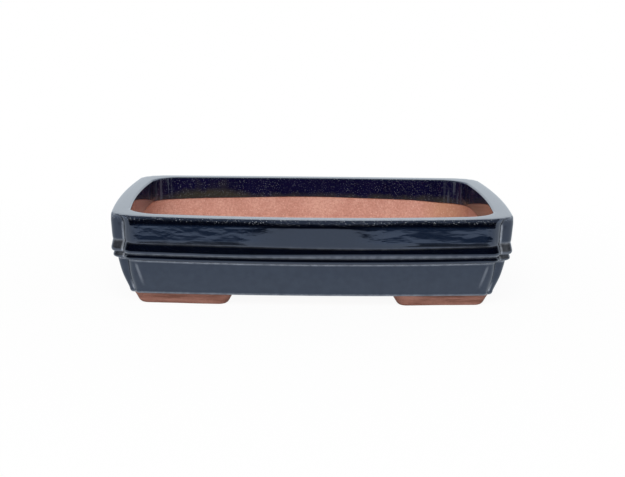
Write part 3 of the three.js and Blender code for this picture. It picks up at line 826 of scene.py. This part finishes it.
def outside_glaze(name):
    """Blue-black stoneware glaze, glossy as glass: it mirrors the white floor and the dark room. Waves in the
    coat break the mirror image into dark clouds, and pale specks of melt stand in a haze on the lip. It is
    painted milky where it gathered in creases and grooves, and the same milky colour paints highlights of
    mirrored light on the creases, the shoulder, the base edge, the rim edge and the rounded ends of the lower
    panels."""
    glass = blank_material(name)
    place = node(glass, "ShaderNodeTexCoord").outputs["Object"]
    parts = node(glass, "ShaderNodeSeparateXYZ", {0: place})
    up = parts.outputs["Z"]
    across = node(glass, "ShaderNodeMath", {0: parts.outputs["X"]}, operation="ABSOLUTE").outputs[0]
    pale_and_highlight = node(glass, "ShaderNodeAttribute", attribute_name="pale_and_highlight").outputs["Fac"]

    # Waves, drawn out along the walls: strong towards the ends of the upper panels and faint elsewhere
    drawn_out = node(glass, "ShaderNodeMapping", {"Vector": place, "Scale": WAVE_DRAWN})
    waves = node(glass, "ShaderNodeTexNoise", {"Vector": drawn_out.outputs[0], "Scale": 1 / WAVE_SIZE,
                                               "Detail": 4.0, "Roughness": 0.42})
    ends = node(glass, "ShaderNodeMapRange", {0: across, (1, 2): WAVES_GROW, (3, 4): (FAINT_WAVES, 1.0)},
                interpolation_type="SMOOTHSTEP")
    sides = node(glass, "ShaderNodeMapRange", {0: across, (1, 2): WAVES_STOP, (3, 4): (1.0, 0.0)})
    panel = node(glass, "ShaderNodeMapRange", {0: up, (1, 2): WAVES_ABOVE, (3, 4): (FAINT_WAVES, 1.0)})
    lip = node(glass, "ShaderNodeMapRange", {0: up, (1, 2): WAVES_BELOW, (3, 4): (1.0, 0.0)})
    wavy = ends.outputs[0]
    for share in (sides, panel, lip):
        wavy = node(glass, "ShaderNodeMath", {0: wavy, 1: share.outputs[0]}, operation="MULTIPLY").outputs[0]
    leaning = node(glass, "ShaderNodeMath", {0: up, 1: -WAVE_FALL, 2: WAVE_START}, operation="MULTIPLY_ADD")
    height = node(glass, "ShaderNodeMath", {0: waves.outputs["Fac"], 1: leaning.outputs[0]}, operation="ADD")
    height = node(glass, "ShaderNodeMath", {0: height.outputs[0], 1: wavy}, operation="MULTIPLY")
    ripple = node(glass, "ShaderNodeBump", {"Height": height.outputs[0], "Distance": WAVE_HEIGHT,
                                            "Strength": 1.0})
    rough = node(glass, "ShaderNodeMapRange", {0: wavy, (3, 4): COAT_ROUGHNESS})

    # Body colour: black with slow blue clouds, navy where the coat is wavy, a grey haze on the lip
    clouds = node(glass, "ShaderNodeTexNoise", {"Vector": place, "Scale": 1 / CLOUD_SIZE, "Detail": 3.0})
    depth = node(glass, "ShaderNodeMix", {0: clouds.outputs["Fac"],
                                          (6, 7): (colour("#010104"), colour("#030613"))}, data_type="RGBA")
    navy = node(glass, "ShaderNodeMix", {0: wavy, (6, 7): (depth.outputs[2], colour("#0c182b"))},
                data_type="RGBA")
    start = node(glass, "ShaderNodeMapRange", {0: across, (1, 2): (0.0, HAZE_SPAN), (3, 4): HAZE_START})
    wander = node(glass, "ShaderNodeMath", {0: clouds.outputs["Fac"], 1: HAZE_WANDER, 2: start.outputs[0]},
                  operation="MULTIPLY_ADD")
    above = node(glass, "ShaderNodeMath", {0: up, 1: wander.outputs[0]}, operation="SUBTRACT")
    haze = node(glass, "ShaderNodeMapRange", {0: above.outputs[0], (1, 2): (0.0, HAZE_FADE),
                                              (3, 4): (0.0, HAZE_STRENGTH)})
    hazy = node(glass, "ShaderNodeMix", {0: haze.outputs[0], (6, 7): (navy.outputs[2], colour("#2c3342"))},
                data_type="RGBA")
    strewn = node(glass, "ShaderNodeMapRange", {0: above.outputs[0], (1, 2): SPECKS_FADE,
                                                (3, 4): (STRAY_SPECKS, 1.0)})
    flat = node(glass, "ShaderNodeMapRange", {0: up, (1, 2): RIM_TURN, (3, 4): (1.0, RIM_SPECKS)})
    strewn = node(glass, "ShaderNodeMath", {0: strewn.outputs[0], 1: flat.outputs[0]}, operation="MULTIPLY")
    shown = node(glass, "ShaderNodeMath", {0: specks(glass, place).outputs[0], 1: strewn.outputs[0]},
                 operation="MULTIPLY")
    specked = node(glass, "ShaderNodeMix", {0: shown.outputs[0],
                                            (6, 7): (hazy.outputs[2], colour("#aaaeb2"))}, data_type="RGBA")

    # A faint mottle on the lower panels, with a painted highlight line along their rounded ends
    slanted = node(glass, "ShaderNodeMath", {0: up, 1: -PAINTED_HIGHLIGHT_LEAN, 2: across}, operation="MULTIPLY_ADD")
    off_line = node(glass, "ShaderNodeMath", {0: slanted.outputs[0], 1: PAINTED_HIGHLIGHT_PLACE},
                    operation="SUBTRACT")
    off_line = node(glass, "ShaderNodeMath", {0: off_line.outputs[0]}, operation="ABSOLUTE")
    line = node(glass, "ShaderNodeMapRange", {0: off_line.outputs[0], (1, 2): PAINTED_HIGHLIGHT_WIDTH,
                                              (3, 4): (PAINTED_HIGHLIGHT_STRENGTH, 0.0)},
                interpolation_type="SMOOTHSTEP")
    line_foot = node(glass, "ShaderNodeMapRange", {0: up, (1, 2): PAINTED_HIGHLIGHT_FOOT})
    lower_panel = node(glass, "ShaderNodeMapRange", {0: up, (1, 2): LOWER_PANEL_TOP, (3, 4): (1.0, 0.0)})
    for share in (line_foot.outputs[0], lower_panel.outputs[0], clouds.outputs["Fac"]):
        line = node(glass, "ShaderNodeMath", {0: line.outputs[0], 1: share}, operation="MULTIPLY")
    patchy = node(glass, "ShaderNodeTexNoise", {"Vector": place, "Scale": 1 / PATCH_SIZE, "Detail": 3.0})
    mottle = node(glass, "ShaderNodeMapRange", {0: patchy.outputs["Fac"], (1, 2): MOTTLE_RANGE})
    mottle = node(glass, "ShaderNodeMath", {0: mottle.outputs[0], 1: lower_panel.outputs[0]},
                  operation="MULTIPLY")
    mottled = node(glass, "ShaderNodeMix", {0: mottle.outputs[0],
                                            (6, 7): (specked.outputs[2], colour("#12171f"))},
                   data_type="RGBA")

    # Milky places, more so in some patches than in others: pooled glaze and painted highlights alike
    thick = node(glass, "ShaderNodeMapRange", {0: patchy.outputs["Fac"], (1, 2): PATCH_RANGE,
                                               (3, 4): PATCH_MILKINESS})
    pale_and_highlight_share = node(glass, "ShaderNodeMath", {0: pale_and_highlight, 1: thick.outputs[0], 2: line.outputs[0]},
                     operation="MULTIPLY_ADD", use_clamp=True)
    # The milky colour, painted over pooled glaze and over the painted highlights
    pooled_and_highlighted = node(glass, "ShaderNodeMix", {0: pale_and_highlight_share.outputs[0],
                                           (6, 7): (mottled.outputs[2], colour("#989da5"))}, data_type="RGBA")
    face = node(glass, "ShaderNodeBsdfPrincipled",
                {"Base Color": pooled_and_highlighted.outputs[2], "Roughness": rough.outputs[0], "IOR": 1.78,
                 "Specular Tint": colour("#d4e2ff"), "Normal": ripple.outputs[0]})
    node(glass, "ShaderNodeOutputMaterial", {"Surface": face.outputs[0]})
    return glass


THIN_CLOUD_SIZE = 24 * mm
CLAY_REFLECTION_HEIGHTS = (52 * mm, 61 * mm)  # heights over which the painted reflection of the clay fades, from the end of the glaze up
CLAY_REFLECTION_BY_HEIGHT = (0.3, -0.7)  # what that adds to the painted reflection
CLAY_REFLECTION_PLACE = -88 * mm  # left of the middle
CLAY_REFLECTION_FADES = (12 * mm, 40 * mm)
CLAY_REFLECTION_STRENGTH = 0.6  # what that place adds
CLAY_REFLECTION_RANGE = (0.3, 1.0)  # sums that give no tinge and the most of it
CLAY_REFLECTION_MOST = 0.9
DRIFT_SIZE = 9 * mm
RUN_SIZE = 2.6 * mm
RUN_DRAWN = (1, 1, 0.08)
RUN_RANGE = (0.52, 0.62)  # levels of the pattern that give no run and a full one
RUN_AND_HIGHLIGHT_STRENGTH = 0.65
RUN_CORNERS = (("X", (118 * mm, 126 * mm)), ("Y", (72 * mm, 80 * mm)))  # where the corners begin
INSIDE_SPECKS = 0.48


def inside_glaze(name):
    """The same glaze in a thin coat over the clay: violet-blue and full of pale specks of melt, with an olive
    tinge just above its end that is a painted reflection of the lit clay across the pot, and pale runs in the
    corners that are partly painted streaks of highlight. It is less of a mirror than the coat outside."""
    glass = blank_material(name)
    place = node(glass, "ShaderNodeTexCoord").outputs["Object"]
    parts = node(glass, "ShaderNodeSeparateXYZ", {0: place})
    clouds = node(glass, "ShaderNodeTexNoise", {"Vector": place, "Scale": 1 / THIN_CLOUD_SIZE, "Detail": 3.0})
    violet = node(glass, "ShaderNodeMix", {0: clouds.outputs["Fac"],
                                           (6, 7): (colour("#01031a"), colour("#0e0d33"))}, data_type="RGBA")
    # Painted reflection of the lit clay across the pot: an olive tinge, strongest just above the end of the
    # glaze
    thin = node(glass, "ShaderNodeMapRange", {0: parts.outputs["Z"], (1, 2): CLAY_REFLECTION_HEIGHTS, (3, 4): CLAY_REFLECTION_BY_HEIGHT})
    from_patch = node(glass, "ShaderNodeMath", {0: parts.outputs["X"], 1: CLAY_REFLECTION_PLACE}, operation="SUBTRACT")
    from_patch = node(glass, "ShaderNodeMath", {0: from_patch.outputs[0]}, operation="ABSOLUTE")
    patch = node(glass, "ShaderNodeMapRange", {0: from_patch.outputs[0], (1, 2): CLAY_REFLECTION_FADES,
                                               (3, 4): (CLAY_REFLECTION_STRENGTH, 0.0)})
    drift = node(glass, "ShaderNodeTexNoise", {"Vector": place, "Scale": 1 / DRIFT_SIZE, "Detail": 3.0})
    cloudy = thin
    for share in (patch.outputs[0], drift.outputs["Fac"]):
        cloudy = node(glass, "ShaderNodeMath", {0: cloudy.outputs[0], 1: share}, operation="ADD")
    clay_reflection = node(glass, "ShaderNodeMapRange", {0: cloudy.outputs[0], (1, 2): CLAY_REFLECTION_RANGE,
                                               (3, 4): (0.0, CLAY_REFLECTION_MOST)})
    clay_mirrored = node(glass, "ShaderNodeMix", {0: clay_reflection.outputs[0],
                                           (6, 7): (violet.outputs[2], colour("#34332a"))}, data_type="RGBA")
    # Pale runs painted in the inside corners, partly as painted streaks of highlight mirrored there
    fallen = node(glass, "ShaderNodeMapping", {"Vector": place, "Scale": RUN_DRAWN})
    runs = node(glass, "ShaderNodeTexNoise", {"Vector": fallen.outputs[0], "Scale": 1 / RUN_SIZE,
                                              "Detail": 1.0})
    run = node(glass, "ShaderNodeMapRange", {0: runs.outputs["Fac"], (1, 2): RUN_RANGE,
                                             (3, 4): (0.0, RUN_AND_HIGHLIGHT_STRENGTH)})
    for axis, beginning in RUN_CORNERS:
        way = node(glass, "ShaderNodeMath", {0: parts.outputs[axis]}, operation="ABSOLUTE")
        corner = node(glass, "ShaderNodeMapRange", {0: way.outputs[0], (1, 2): beginning})
        run = node(glass, "ShaderNodeMath", {0: run.outputs[0], 1: corner.outputs[0]}, operation="MULTIPLY")
    runs_and_highlights = node(glass, "ShaderNodeMix", {0: run.outputs[0],
                                             (6, 7): (clay_mirrored.outputs[2], colour("#454c58"))},
                    data_type="RGBA")
    shown = node(glass, "ShaderNodeMath", {0: specks(glass, place).outputs[0], 1: INSIDE_SPECKS},
                 operation="MULTIPLY")
    specked = node(glass, "ShaderNodeMix", {0: shown.outputs[0],
                                            (6, 7): (runs_and_highlights.outputs[2], colour("#8f95a0"))},
                   data_type="RGBA")
    face = node(glass, "ShaderNodeBsdfPrincipled",
                {"Base Color": specked.outputs[2], "Roughness": 0.08, "IOR": 1.5,
                 "Specular Tint": colour("#8fa4ff")})
    node(glass, "ShaderNodeOutputMaterial", {"Surface": face.outputs[0]})
    return glass


glaze_skin.data.materials.append(outside_glaze("blue-black glaze"))
glaze_skin.data.materials.append(inside_glaze("thin violet-blue glaze"))
bpy.ops.object.mode_set(mode="EDIT")
pick(glaze_skin, lambda number, place: number >= outside_points + RIM_OUTLINES * outline_points)
glaze_skin.active_material_index = 1
bpy.ops.object.material_slot_assign()
bpy.ops.object.mode_set(mode="OBJECT")
apply_modifier(glaze_skin, "SUBSURF", levels=SMOOTHING, render_levels=SMOOTHING)
bpy.ops.object.shade_smooth()
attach(glaze_skin, "root")
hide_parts("glaze_coat")
